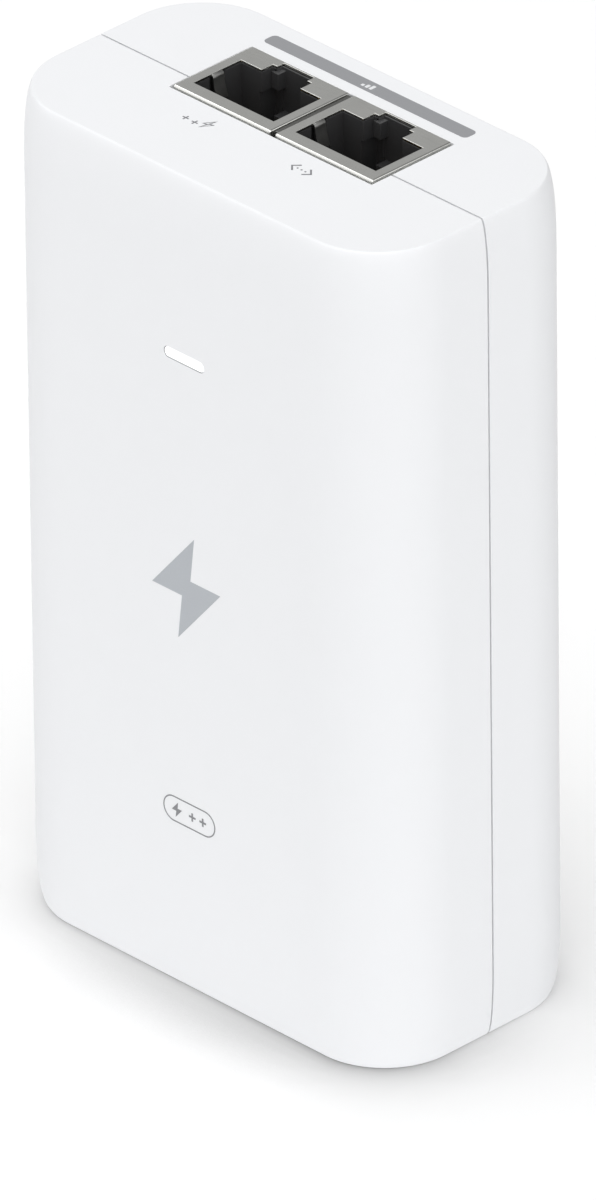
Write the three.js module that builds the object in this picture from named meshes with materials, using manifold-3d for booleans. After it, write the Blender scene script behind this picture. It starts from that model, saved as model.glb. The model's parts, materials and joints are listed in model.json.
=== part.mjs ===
// A mains-fed Power over Ethernet injector: a white two-part moulded case with two shielded modular
// jacks in its top face, a mains inlet in its base, and the power supply between them.
// Millimetres, +Z up. The origin is the centre of the base, on the surface the case stands on, and
// the front of the case, which has the status light, looks along -Y.

import * as THREE from "three";
import { mergeVertices } from "three/addons/utils/BufferGeometryUtils.js";
import Module from "manifold-3d";

// ---------------------------------------------------------------- driving dimensions

const CASE = {
  width: 59.4, // X
  depth: 32.4, // Y
  height: 100, // Z
  corner: 10, // radius of the upright corners
  wall: 2,
  shoulderHeight: 8, // the walls draw in over this height at the top and the base
  shoulderTuck: 1, // and by this much, along a quarter of an ellipse
};

const SEAM = {
  y: 0.2, // middle of the parting line between the front and rear shells
  gap: 0.2,
  tongue: 1.5, // how far the rear shell's tongue enters the front shell
  tongueInset: 1.1, // from the outer face of the wall to the tongue
  clearance: 0.15,
};

const HOOK = { heights: [26, 74], height: 6, reach: 6.2, catch: 4.6, clearance: 0.3 };

const LIGHT = { z: 78.05, width: 6.3, height: 1.5, clearance: 0.1, headDepth: 6, tailWidth: 3.2 };

const JACK = {
  pitch: 15.4, // between the two jacks
  width: 14.65,
  front: -2.5, // Y of the contact side of the shield
  rear: 9.4, // Y of the latch side
  proud: 0.2, // how far the shield stands above the case
  depth: 18.4, // below the top face
  sheet: 0.25, // thickness of the shield
  gap: 0.08, // between the shield and the insert
  mouthWidth: 12.15,
  mouthFront: -0.62,
  mouthRear: 6.42,
  latchWidth: 5.92,
  latchRear: 8.11,
  keyWidth: 4.58,
  keyRear: 9.11,
  cavityDepth: 14.5,
  contactPitch: 1.016,
  contacts: 8,
};

// A contact is a hairpin by the mouth, and an arm that slopes back into the cavity.
const CONTACT = { width: 0.42, thickness: 0.26, bend: 0.42, y: -1.1, z: -1.9, slotRoom: 0.12 };

const BOARD = { halfWidth: 24.6, bottom: 4, top: 94, front: 9.9, rear: 11.5, corner: 2 };
const SCREW = {
  places: [
    [-22, 10],
    [22, 10],
    [-22, 88],
    [22, 88],
  ],
  shank: 1.1,
  head: 2.3,
};

const INLET = {
  y: -0.6, // centre
  width: 27.8,
  depth: 19.8,
  recess: 0.6, // rim above the base
  top: 22,
  mouthWidth: 24.6,
  mouthDepth: 16.8,
  mouthTop: 17.6,
  chamfer: 4.8,
};
const PIN = { width: 4, thickness: 2, tip: 3.6, legBottom: 22.8, legTop: 23.8, spread: 7, drop: 2 };

const TRANSFORMER = { x: 8.2, z: 60, width: 26, length: 19, height: 20, plate: 4.4, leg: 5 };
const CHOKE = { x: 8.6, z: 36, outer: 7.4, inner: 4.4, low: -8.6, high: -1.4, wire: 1, gap: 0.25 };
const SPREADER = { halfWidth: 21, bottom: 25, top: 75.5, thickness: 0.8, offWall: 0.4, wing: 2.8 };
const LIFT = 0.2; // between the board and what is soldered on it

// ---------------------------------------------------------------- finishes

const finish = (color, roughness, metalness = 0) => ({ color, roughness, metalness });

const FINISH = {
  whiteCase: finish(0xf1f2f3, 0.5),
  lightPipe: finish(0xffffff, 0.25),
  status: finish(0xf4f6ff, 0.3),
  shield: finish(0x9d9d99, 0.35, 1),
  blackPlastic: finish(0x1c1c1d, 0.5),
  gold: finish(0xc9a44a, 0.3, 1),
  brass: finish(0xb9babb, 0.3, 1),
  board: finish(0x1f5a36, 0.5),
  ferrite: finish(0x2b2b2d, 0.7),
  copper: finish(0xb26a3c, 0.4, 1),
  tape: finish(0xd9b23a, 0.5),
  capacitorSleeve: finish(0x20242c, 0.4),
  filmBox: finish(0xd2b13c, 0.5),
  blueCoat: finish(0x2d6fb3, 0.4),
  greenCoat: finish(0x3e6b42, 0.4),
  aluminium: finish(0xb7b9bb, 0.4, 1),
  siliconePad: finish(0x8aa0b4, 0.8),
  insulation: finish(0x2a2d2b, 0.7),
  steel: finish(0x9a9b9d, 0.3, 1),
};

// ---------------------------------------------------------------- solids and booleans

const wasm = await Module();
wasm.setup();

/** A closed geometry as a manifold-3d solid. */
function toSolid(geometry) {
  const bare = geometry.clone();
  bare.deleteAttribute("normal");
  bare.deleteAttribute("uv");
  const merged = mergeVertices(bare, 1e-4);
  return new wasm.Manifold(
    new wasm.Mesh({
      numProp: 3,
      vertProperties: merged.attributes.position.array,
      triVerts: new Uint32Array(merged.index.array),
    }),
  );
}

/** A manifold-3d solid as a geometry. */
function toGeometry(solid) {
  const mesh = solid.getMesh();
  const geometry = new THREE.BufferGeometry();
  geometry.setAttribute("position", new THREE.BufferAttribute(mesh.vertProperties, 3));
  geometry.setIndex(new THREE.BufferAttribute(mesh.triVerts, 1));
  return geometry;
}

const join = (...solids) => solids.reduce((whole, piece) => whole.add(piece));
const cut = (solid, ...tools) => tools.reduce((left, tool) => left.subtract(tool), solid);

/** A box from its lowest to its highest corner. */
function block(low, high) {
  const size = high.map((value, i) => value - low[i]);
  const middle = high.map((value, i) => (value + low[i]) / 2);
  return toSolid(new THREE.BoxGeometry(...size).translate(...middle));
}

/** A cylinder along Y from y = from to y = to, around (x, z). */
function post(x, z, radius, from, to, sides = 20) {
  const geometry = new THREE.CylinderGeometry(radius, radius, to - from, sides);
  return toSolid(geometry.translate(x, (from + to) / 2, z));
}

/** A tube along Y. */
const ring = (outer, inner, from, to, sides = 28) =>
  cut(post(0, 0, outer, from, to, sides), post(0, 0, inner, from - 1, to + 1, sides - 4));

/** An outline through a list of points. */
const outline = (points) => new THREE.Shape(points.map(([a, b]) => new THREE.Vector2(a, b)));

/** An XY outline drawn up along Z. */
function extrudeZ(shape, from, to) {
  const geometry = new THREE.ExtrudeGeometry(shape, { depth: to - from, bevelEnabled: false });
  return toSolid(geometry.translate(0, 0, from));
}

/** An XZ outline drawn along Y. */
function extrudeY(shape, from, to) {
  const geometry = new THREE.ExtrudeGeometry(shape, { depth: to - from, bevelEnabled: false });
  return toSolid(geometry.rotateX(Math.PI / 2).translate(0, to, 0));
}

/** A YZ outline drawn along X. */
function extrudeX(shape, from, to) {
  const turn = new THREE.Matrix4().makeBasis(
    new THREE.Vector3(0, 1, 0),
    new THREE.Vector3(0, 0, 1),
    new THREE.Vector3(1, 0, 0),
  );
  const geometry = new THREE.ExtrudeGeometry(shape, { depth: to - from, bevelEnabled: false });
  return toSolid(geometry.applyMatrix4(turn).translate(from, 0, 0));
}

/** A bent strip's outline: a path of points, given a thickness to its left. */
function strip(path, thickness) {
  const points = path.map(([a, b]) => new THREE.Vector2(a, b));
  const normal = (a, b) => new THREE.Vector2(a.y - b.y, b.x - a.x).normalize();
  const offset = points.map((point, i) => {
    const before = i > 0 ? normal(points[i - 1], point) : normal(point, points[1]);
    const after = i < points.length - 1 ? normal(point, points[i + 1]) : before;
    const mitre = before.clone().add(after).normalize();
    return point.clone().addScaledVector(mitre, thickness / mitre.dot(before));
  });
  return new THREE.Shape([...points, ...offset.reverse()]);
}

/** A rectangle with rounded corners, each with a number of steps. */
function roundedRectangle(x0, x1, y0, y1, radius, steps) {
  const shape = new THREE.Shape();
  const quarter = Math.PI / 2;
  shape.absarc(x1 - radius, y0 + radius, radius, -quarter, 0);
  shape.absarc(x1 - radius, y1 - radius, radius, 0, quarter);
  shape.absarc(x0 + radius, y1 - radius, radius, quarter, 2 * quarter);
  shape.absarc(x0 + radius, y0 + radius, radius, 2 * quarter, 3 * quarter);
  return new THREE.Shape(shape.getPoints(steps / 2));
}

// ---------------------------------------------------------------- the case

/** The case's plan outline, drawn in by inset. */
function plan(inset, steps) {
  const x = CASE.width / 2 - inset;
  const y = CASE.depth / 2 - inset;
  return roundedRectangle(-x, x, -y, y, CASE.corner - inset, steps);
}

/** The outer form of the case, with its shoulders at the top and the base. */
function caseForm() {
  const geometry = new THREE.ExtrudeGeometry(plan(0, 10), {
    depth: CASE.height - 2 * CASE.shoulderHeight,
    bevelThickness: CASE.shoulderHeight,
    bevelSize: CASE.shoulderTuck,
    bevelOffset: -CASE.shoulderTuck,
    bevelSegments: 6,
  });
  return toSolid(geometry.translate(0, 0, CASE.shoulderHeight));
}

/** The case drawn in by inset on every side. */
const innerForm = (inset) => extrudeZ(plan(inset, 8), inset, CASE.height - inset);

/** Everything between two Y planes. */
const slab = (from, to) =>
  block([-CASE.width, from, -CASE.height], [CASE.width, to, 2 * CASE.height]);

/** A slot with round ends in the XZ plane, centred on x = 0. */
const slot = (width, height, z) =>
  roundedRectangle(-width / 2, width / 2, z - height / 2, z + height / 2, height / 2 - 0.001, 6);

/** The holes that both shells share: one for the two jacks and one for the mains inlet. */
function sharedOpenings() {
  const room = 0.18;
  const jackX = (JACK.pitch + JACK.width) / 2 + room;
  const inletX = INLET.width / 2 + room;
  const inletY = INLET.depth / 2 + room;
  return [
    block(
      [-jackX, JACK.front - room, CASE.height - CASE.wall - 1],
      [jackX, JACK.rear + room, CASE.height + 1],
    ),
    block([-inletX, INLET.y - inletY, -1], [inletX, INLET.y + inletY, CASE.wall + 1]),
  ];
}

/** A snap hook on the front shell: an arm that passes the seam, with a barb that faces outwards. */
function snapHook(side, z) {
  const inner = CASE.width / 2 - CASE.wall;
  const arm = [
    [inner + 0.4, -6],
    [inner - 1.5, -4.5],
    [inner - 1.5, HOOK.reach],
    [inner - 0.6, HOOK.reach],
    [inner + 0.15, HOOK.catch],
    [inner - 0.4, HOOK.catch],
    [inner - 0.4, -2.4],
    [inner + 0.4, -2.4],
  ].map(([x, y]) => [side * x, y]);
  return extrudeZ(outline(arm), z - HOOK.height / 2, z + HOOK.height / 2);
}

/** The space that a snap hook takes in the rear shell: a gap in the tongue, and the barb's pocket. */
function hookRoom(side, z) {
  const inner = CASE.width / 2 - CASE.wall;
  const half = HOOK.height / 2 + HOOK.clearance;
  const room = (depth, from, to) =>
    block(
      [Math.min(side * (inner - 1), side * (inner + depth)), from, z - half],
      [Math.max(side * (inner - 1), side * (inner + depth)), to, z + half],
    );
  return join(
    room(1, -3, SEAM.y + SEAM.gap),
    room(0.45, HOOK.catch - HOOK.clearance, HOOK.reach + HOOK.clearance),
  );
}

const hookPlaces = () => HOOK.heights.flatMap((z) => [[-1, z], [1, z]]);

function frontShell() {
  const edge = SEAM.y - SEAM.gap / 2;
  const half = cut(caseForm(), innerForm(CASE.wall)).intersect(slab(-CASE.depth, edge));
  const rebate = innerForm(SEAM.tongueInset - SEAM.clearance).intersect(
    slab(edge - SEAM.tongue - 0.4, edge + 1),
  );
  const { z, width, height, clearance } = LIGHT;
  const window = slot(width + 2 * clearance, height + 2 * clearance, z);
  const lightSlot = extrudeY(window, -CASE.depth, -CASE.depth / 2 + CASE.wall + 1);
  const lightGuides = [-1, 1].map((side) => {
    const x = side * (width / 2 + 0.9);
    return block([x - 0.6, -CASE.depth / 2 + 1, z - 1.6], [x + 0.6, -8, z + 1.6]);
  });
  const hooks = hookPlaces().map(([side, height]) => snapHook(side, height));
  const shell = cut(half, rebate, lightSlot, ...sharedOpenings());
  return join(shell, ...lightGuides, ...hooks);
}

function rearShell() {
  const edge = SEAM.y + SEAM.gap / 2;
  const half = cut(caseForm(), innerForm(CASE.wall)).intersect(slab(edge, CASE.depth));
  const tongue = cut(innerForm(SEAM.tongueInset), innerForm(CASE.wall)).intersect(
    slab(edge - SEAM.gap - SEAM.tongue, edge + 0.5),
  );
  const boss = { from: BOARD.rear + 0.2, to: CASE.depth / 2 - CASE.wall + 0.5 };
  const bosses = SCREW.places.map(([x, z]) => post(x, z, 2.9, boss.from, boss.to, 18));
  const bossHoles = SCREW.places.map(([x, z]) =>
    post(x, z, SCREW.shank + 0.2, boss.from - 1, boss.to - 0.5, 12),
  );
  const hookRooms = hookPlaces().map(([side, z]) => hookRoom(side, z));
  const shell = cut(join(half, tongue), ...sharedOpenings(), ...hookRooms);
  return cut(join(shell, ...bosses), ...bossHoles);
}

/** The status light's lens, and the bar behind it that reaches the lamp on the board. */
function lightPipe() {
  const { z, width, height, headDepth, tailWidth } = LIGHT;
  const front = -CASE.depth / 2;
  const head = extrudeY(slot(width, height, z), front, front + headDepth);
  const tail = block(
    [-tailWidth / 2, front + headDepth - 0.5, z - height / 2 + 0.1],
    [tailWidth / 2, BOARD.front - 1.4, z + height / 2 - 0.1],
  );
  return join(head, tail);
}

// ---------------------------------------------------------------- a modular jack
// Drawn with x = 0 in the middle of the jack and z = 0 on the case's top face.

/** The stepped mouth that a plug and its latch pass through, grown by margin. */
function mouthOutline(margin = 0) {
  const half = JACK.mouthWidth / 2 + margin;
  const latch = JACK.latchWidth / 2 + margin;
  const key = JACK.keyWidth / 2 + margin;
  const rightHalf = [
    [half, JACK.mouthFront - margin],
    [half, JACK.mouthRear + margin],
    [latch, JACK.mouthRear + margin],
    [latch, JACK.latchRear + margin],
    [key, JACK.latchRear + margin],
    [key, JACK.keyRear],
  ];
  const leftHalf = rightHalf.map(([x, y]) => [-x, y]).reverse();
  return outline([...rightHalf, ...leftHalf]);
}

/** A ground finger: a strip bent down from the edge of the mouth into the cavity. */
function groundFinger(side) {
  const edge = JACK.mouthWidth / 2;
  const path = [
    [edge + 0.4, JACK.proud - 0.2],
    [edge - 0.3, JACK.proud - 0.3],
    [edge - 0.95, -2.2],
    [edge - 1, -2.9],
    [edge - 0.6, -5],
  ].map(([x, z]) => [side * x, z]);
  return extrudeY(strip(side > 0 ? path.reverse() : path, 0.2), 2, 3.65);
}

/** The folded shield: a box of thin sheet with the mouth, two ground fingers and two board tails. */
function jackShield() {
  const { sheet, front, rear, depth, proud } = JACK;
  const half = JACK.width / 2;
  const outer = block([-half, front, -depth], [half, rear, proud]);
  const inner = block(
    [-half + sheet, front + sheet, -depth - 1],
    [half - sheet, rear - sheet, proud - sheet],
  );
  const mouth = extrudeZ(mouthOutline(), -1, 1);
  const tails = [-1, 1].map((side) => {
    const x = side * (half - sheet / 2);
    return block([x - sheet / 2, rear - 0.5, -10], [x + sheet / 2, BOARD.rear + 1, -8.6]);
  });
  return join(cut(outer, inner, mouth), groundFinger(-1), groundFinger(1), ...tails);
}

const contactPlaces = () =>
  Array.from(
    { length: JACK.contacts },
    (_, i) => (i - (JACK.contacts - 1) / 2) * JACK.contactPitch,
  );

/** The moulded insert: the cavity for the plug, its latch's well and a slot for each contact. */
function jackInsert() {
  const margin = JACK.sheet + JACK.gap;
  const half = JACK.width / 2 - margin;
  const floor = -JACK.cavityDepth;
  const body = block(
    [-half, JACK.front + margin, -JACK.depth + margin],
    [half, JACK.rear - margin, JACK.proud - margin],
  );
  const mouth = extrudeZ(mouthOutline(0.02), floor, 1);
  const latch = JACK.latchWidth / 2 + 0.3;
  const latchWell = block(
    [-latch, JACK.mouthRear - 0.2, floor],
    [latch, JACK.rear - margin - 0.35, -2.6],
  );
  const fingerWells = [-1, 1].map((side) => {
    const x = side * (JACK.mouthWidth / 2 - 0.3);
    return block([x - 0.6, 1.7, -6], [x + 0.9, 3.95, 1]);
  });
  const slotHalf = CONTACT.width / 2 + CONTACT.slotRoom;
  const combSlots = contactPlaces().map((x) =>
    block(
      [x - slotHalf, JACK.front + margin + 0.28, floor],
      [x + slotHalf, JACK.mouthFront + 0.2, -0.9],
    ),
  );
  return cut(body, mouth, latchWell, ...fingerWells, ...combSlots);
}

/** A contact spring, drawn around the middle of its hairpin bend. */
function contactSpring() {
  const { bend, thickness, width } = CONTACT;
  const from = Math.PI * 1.05;
  const to = Math.PI * 0.12;
  const steps = 7;
  const hairpin = Array.from({ length: steps + 1 }, (_, i) => {
    const angle = from + ((to - from) * i) / steps;
    return [bend * Math.cos(angle), bend * Math.sin(angle)];
  });
  const arm = [
    [2.45, -6.4],
    [2.7, -7.5],
    [2.6, -10.4],
  ];
  return extrudeX(strip([...hairpin, ...arm], thickness), -width / 2, width / 2);
}

// ---------------------------------------------------------------- the mains inlet
// Drawn with x = 0 and y = 0 in its middle.

/** The inlet's mouth, with two of its corners cut off. */
function inletMouth() {
  const x = INLET.mouthWidth / 2;
  const y = INLET.mouthDepth / 2;
  return outline([
    [-x, -y],
    [x, -y],
    [x, y - INLET.chamfer],
    [x - INLET.chamfer, y],
    [-x + INLET.chamfer, y],
    [-x, y - INLET.chamfer],
  ]);
}

const INLET_PINS = [
  { name: "inlet_line_pin", x: -PIN.spread, y: -PIN.drop },
  { name: "inlet_neutral_pin", x: PIN.spread, y: -PIN.drop },
  { name: "inlet_earth_pin", x: 0, y: PIN.drop },
];

function inletHousing() {
  const x = INLET.width / 2;
  const y = INLET.depth / 2;
  const slots = INLET_PINS.map((pin) => {
    const halfX = PIN.thickness / 2 + 0.1;
    const halfY = PIN.width / 2 + 0.1;
    return block(
      [pin.x - halfX, pin.y - halfY, INLET.mouthTop - 1],
      [pin.x + halfX, pin.y + halfY, INLET.top + 1],
    );
  });
  const body = block([-x, -y, INLET.recess], [x, y, INLET.top]);
  return cut(body, extrudeZ(inletMouth(), -1, INLET.mouthTop), ...slots);
}

/** A blade with a bevelled tip, and a leg that turns back to the board. */
function inletPin(pin) {
  const half = PIN.width / 2;
  const blade = outline([
    [-half, PIN.tip + 1],
    [-half + 0.9, PIN.tip],
    [half - 0.9, PIN.tip],
    [half, PIN.tip + 1],
    [half, PIN.legTop],
    [-half, PIN.legTop],
  ]);
  const reach = BOARD.rear + 0.8 - INLET.y - pin.y;
  return join(
    extrudeX(blade, -PIN.thickness / 2, PIN.thickness / 2),
    block([-0.8, 0, PIN.legBottom], [0.8, reach, PIN.legTop]),
  );
}

// ---------------------------------------------------------------- the board and what is on it
// What stands on the board is drawn with y = 0 on its foot, and grows along -Y.

function mainBoard() {
  const { halfWidth, bottom, top, front, rear, corner } = BOARD;
  const sheet = extrudeY(
    roundedRectangle(-halfWidth, halfWidth, bottom, top, corner, 4),
    front,
    rear,
  );
  const through = (x0, x1, z0, z1) => block([x0, front - 1, z0], [x1, rear + 1, z1]);
  const screwHoles = SCREW.places.map(([x, z]) =>
    post(x, z, SCREW.shank + 0.3, front - 1, rear + 1, 14),
  );
  const pinHoles = INLET_PINS.map(({ x }) =>
    through(x - 1.1, x + 1.1, PIN.legBottom - 0.3, PIN.legTop + 0.3),
  );
  const isolationSlot = through(19, 24, 46.5, 48);
  const tailHoles = [-1, 1].flatMap((jack) =>
    [-1, 1].map((side) => {
      const x = (jack * JACK.pitch + side * (JACK.width - JACK.sheet)) / 2;
      return through(x - 0.32, x + 0.32, CASE.height - 10.3, CASE.height - 8.3);
    }),
  );
  return cut(sheet, ...screwHoles, ...pinHoles, isolationSlot, ...tailHoles);
}

/** A box-shaped component. */
const boxOnBoard = (width, length, height) =>
  block([-width / 2, -height, -length / 2], [width / 2, 0, length / 2]);

/** An electrolytic capacitor: a can with a rolled groove near its foot. */
const canCapacitor = (radius, length) =>
  join(
    post(0, 0, radius, -2.2, 0, 26),
    post(0, 0, radius - 0.6, -3.2, -2, 26),
    post(0, 0, radius, -length, -3, 26),
  );

function transformerCore() {
  const { width, length, height, plate, leg } = TRANSFORMER;
  const body = block([-width / 2, -height, -length / 2], [width / 2, 0, length / 2]);
  const window = block(
    [-width / 2 + 3.2, -height + plate, -length],
    [width / 2 - 3.2, -plate, length],
  );
  return join(cut(body, window), post(0, 0, leg, -height + 1, -1, 24));
}

/** The bobbin's sleeve and flanges, with a pin rail at each end. */
function transformerBobbin() {
  const { height, plate, leg } = TRANSFORMER;
  const far = -height + plate + 0.2;
  const near = -plate - 0.2;
  const rails = [-1, 1].map((side) =>
    block([-8, near - 1.4, side * 10.9 - 1.2], [8, -0.4, side * 10.9 + 1.2]),
  );
  const arms = [-1, 1].map((side) =>
    block([-5, near - 0.8, side * 9 - 2.2], [5, near, side * 9 + 2.2]),
  );
  const sleeve = post(0, 0, leg + 1.2, far, near, 24);
  const flanges = [post(0, 0, 9.4, far, far + 0.8, 28), post(0, 0, 9.4, near - 0.8, near, 28)];
  return cut(join(sleeve, ...flanges, ...rails, ...arms), post(0, 0, leg + 0.25, far - 1, 1, 24));
}

function transformerWinding() {
  const { height, plate, leg } = TRANSFORMER;
  return ring(8.9, leg + 1.5, -height + plate + 1.3, -plate - 1.3);
}

const chokeCore = () => ring(CHOKE.outer, CHOKE.inner, CHOKE.low, CHOKE.high, 32);

/** One of the choke's two windings: a sleeve around a third of the core. */
function chokeWinding(side) {
  const { outer, inner, low, high, wire, gap } = CHOKE;
  const sleeve = cut(
    ring(outer + wire, inner - wire, low - wire, high + wire, 32),
    ring(outer + gap, inner - gap, low - gap, high + gap, 32),
  );
  const wedge = [
    [0, 0],
    [12, -13],
    [14, 0],
    [12, 13],
  ].map(([x, z]) => [side * x, z]);
  return sleeve.intersect(extrudeY(outline(wedge), -CHOKE.outer * 2, 2));
}

/** A disc component on edge, such as a varistor or a ceramic capacitor. */
function discComponent(radius, thickness) {
  const stand = 1.2;
  const disc = new THREE.CylinderGeometry(radius, radius, thickness, 22);
  disc.rotateX(Math.PI / 2).translate(0, -radius - stand, 0);
  const legs = [-1, 1].map((side) =>
    block([side * 2 - 0.3, -stand - 1.5, -0.3], [side * 2 + 0.3, 0, 0.3]),
  );
  return join(toSolid(disc), ...legs);
}

/** A flat-tabbed power component, standing on its three leads. */
function powerTab() {
  const leads = [-2.54, 0, 2.54].map((x) => block([x - 0.4, -4, 0.9], [x + 0.4, 0, 1.4]));
  const body = block([-5, -12.5, 0], [5, -3.5, 4.4]);
  const tab = block([-5, -18, 0], [5, -12, 1.3]);
  return join(body, tab, ...leads);
}

function boardScrew() {
  const top = BOARD.front - 0.2;
  const head = post(0, 0, SCREW.head, top - 1.5, top, 18);
  const shank = post(0, 0, SCREW.shank, top - 0.5, CASE.depth / 2 - CASE.wall - 0.4, 12);
  const crossSlot = [
    block([-1.3, top - 2, -0.25], [1.3, top - 0.8, 0.25]),
    block([-0.25, top - 2, -1.3], [0.25, top - 0.8, 1.3]),
  ];
  return cut(join(head, shank), ...crossSlot);
}

/** A folded aluminium plate behind the front face that spreads the transformer's heat. */
function heatSpreader() {
  const { halfWidth, bottom, top, thickness, offWall, wing } = SPREADER;
  const y = -CASE.depth / 2 + CASE.wall + offWall;
  const plate = extrudeY(
    roundedRectangle(-halfWidth, halfWidth, bottom, top, 2, 4),
    y,
    y + thickness,
  );
  const wings = [-1, 1].map((side) => {
    const x = side * (halfWidth - thickness / 2);
    return block(
      [x - thickness / 2, y + 0.1, bottom + 4],
      [x + thickness / 2, y + wing, top - 4],
    );
  });
  return join(plate, ...wings);
}

// ---------------------------------------------------------------- assembly

/** Adds a named part to a group, at a place. */
function addPart(group, name, solid, look, place = [0, 0, 0]) {
  const mesh = new THREE.Mesh(toGeometry(solid), new THREE.MeshStandardMaterial(look));
  mesh.name = name;
  mesh.position.set(...place);
  group.add(mesh);
}

/** A jack with its shield, its insert and its eight contact springs. */
function jackAssembly(letter, side) {
  const jack = new THREE.Group();
  jack.position.set((side * JACK.pitch) / 2, 0, CASE.height);
  addPart(jack, `jack_${letter}_shield`, jackShield(), FINISH.shield);
  addPart(jack, `jack_${letter}_insert`, jackInsert(), FINISH.blackPlastic);
  contactPlaces().forEach((x, i) => {
    const name = `jack_${letter}_contact_${i + 1}`;
    addPart(jack, name, contactSpring(), FINISH.gold, [x, CONTACT.y, CONTACT.z]);
  });
  return jack;
}

function inletAssembly() {
  const inlet = new THREE.Group();
  inlet.position.y = INLET.y;
  addPart(inlet, "inlet_housing", inletHousing(), FINISH.blackPlastic);
  INLET_PINS.forEach((pin) =>
    addPart(inlet, pin.name, inletPin(pin), FINISH.brass, [pin.x, pin.y, 0]),
  );
  return inlet;
}

/** The components on the front of the board, each at its own (x, z). */
function componentSide() {
  const side = new THREE.Group();
  side.position.y = BOARD.front - LIFT;
  const put = (name, solid, look, x, z) => addPart(side, name, solid, look, [x, 0, z]);
  put("fuse", post(0, 0, 2.3, -8, 0, 18), FINISH.blackPlastic, -22, 30);
  put("suppression_capacitor", boxOnBoard(16, 8, 12), FINISH.filmBox, -9.8, 31.5);
  put("surge_varistor", discComponent(3.8, 2.4), FINISH.blueCoat, 21.4, 29);
  put("bridge_rectifier", boxOnBoard(6.5, 8.5, 2.6), FINISH.blackPlastic, 21.4, 38);
  put("choke_core", chokeCore(), FINISH.greenCoat, CHOKE.x, CHOKE.z);
  put("choke_winding_left", chokeWinding(-1), FINISH.copper, CHOKE.x, CHOKE.z);
  put("choke_winding_right", chokeWinding(1), FINISH.copper, CHOKE.x, CHOKE.z);
  put("bulk_capacitor", canCapacitor(8, 20), FINISH.capacitorSleeve, -15.5, 47.5);
  put("bridging_capacitor", discComponent(3.2, 1.8), FINISH.blueCoat, 0.5, 46.2);
  put("feedback_coupler", boxOnBoard(4.6, 3.6, 3.2), FINISH.blackPlastic, 15.2, 45.7);
  put("transformer_core", transformerCore(), FINISH.ferrite, TRANSFORMER.x, TRANSFORMER.z);
  put("transformer_bobbin", transformerBobbin(), FINISH.blackPlastic, TRANSFORMER.x, TRANSFORMER.z);
  put("transformer_winding", transformerWinding(), FINISH.tape, TRANSFORMER.x, TRANSFORMER.z);
  put("switch_heat_sink", boxOnBoard(17, 1.5, 18.5), FINISH.aluminium, -15.5, 57.5);
  put("power_switch", powerTab(), FINISH.blackPlastic, -15.5, 58.6);
  put("output_rectifier", powerTab(), FINISH.blackPlastic, -15.5, 64.2);
  put("output_capacitor_left", canCapacitor(3.8, 14), FINISH.capacitorSleeve, -20.6, 74.8);
  put("output_capacitor_right", canCapacitor(3.8, 14), FINISH.capacitorSleeve, 20.6, 76.2);
  put("jack_a_transformer", boxOnBoard(12.4, 5, 5.6), FINISH.blackPlastic, -9.4, 76.6);
  put("jack_b_transformer", boxOnBoard(12.4, 5, 5.6), FINISH.blackPlastic, 9.4, 76.6);
  put("status_lamp", boxOnBoard(3.2, 1.6, 0.9), FINISH.status, 0, LIGHT.z);
  return side;
}

/** The chips on the back of the board. */
function chipSide() {
  const side = new THREE.Group();
  side.position.y = BOARD.rear + LIFT;
  const chip = (width, length) =>
    block([-width / 2, 0, -length / 2], [width / 2, 1.3, length / 2]);
  addPart(side, "power_controller", chip(4, 5), FINISH.blackPlastic, [-4, 0, 54]);
  addPart(side, "port_power_controller", chip(5, 6.5), FINISH.blackPlastic, [6, 0, 73]);
  return side;
}

const injector = new THREE.Group();
addPart(injector, "front_shell", frontShell(), FINISH.whiteCase);
addPart(injector, "rear_shell", rearShell(), FINISH.whiteCase);
addPart(injector, "light_pipe", lightPipe(), FINISH.lightPipe);
injector.add(jackAssembly("a", -1), jackAssembly("b", 1), inletAssembly());
addPart(injector, "main_board", mainBoard(), FINISH.board);
injector.add(componentSide(), chipSide());
SCREW.places.forEach(([x, z], i) =>
  addPart(injector, `board_screw_${i + 1}`, boardScrew(), FINISH.steel, [x, 0, z]),
);
addPart(injector, "heat_spreader", heatSpreader(), FINISH.aluminium);
addPart(
  injector,
  "thermal_pad",
  block([-10, -12.5, -7.5], [10, -10.6, 7.5]),
  FINISH.siliconePad,
  [TRANSFORMER.x, 0, TRANSFORMER.z],
);
addPart(injector, "insulation_sheet", block([-18, 13.3, 14], [18, 13.6, 80]), FINISH.insulation);

export default injector;
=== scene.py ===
import json
import math

import bmesh
import bpy
from mathutils import Euler, Matrix, Vector


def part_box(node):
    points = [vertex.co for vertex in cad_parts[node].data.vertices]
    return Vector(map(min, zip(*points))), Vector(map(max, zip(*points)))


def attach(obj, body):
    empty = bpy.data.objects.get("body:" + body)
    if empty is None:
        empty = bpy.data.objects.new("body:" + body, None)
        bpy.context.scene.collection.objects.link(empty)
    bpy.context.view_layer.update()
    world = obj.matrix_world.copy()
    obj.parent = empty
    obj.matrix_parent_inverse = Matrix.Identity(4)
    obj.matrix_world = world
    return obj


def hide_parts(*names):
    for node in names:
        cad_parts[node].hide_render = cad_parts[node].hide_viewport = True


# The looks of a white PoE injector: a two-part case with two shielded modular jacks in its top, a
# status light and printed marks in front, and a mains inlet in its base. Blender's lengths are in
# metres. The named sizes are in millimetres and go through MM.

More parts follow.
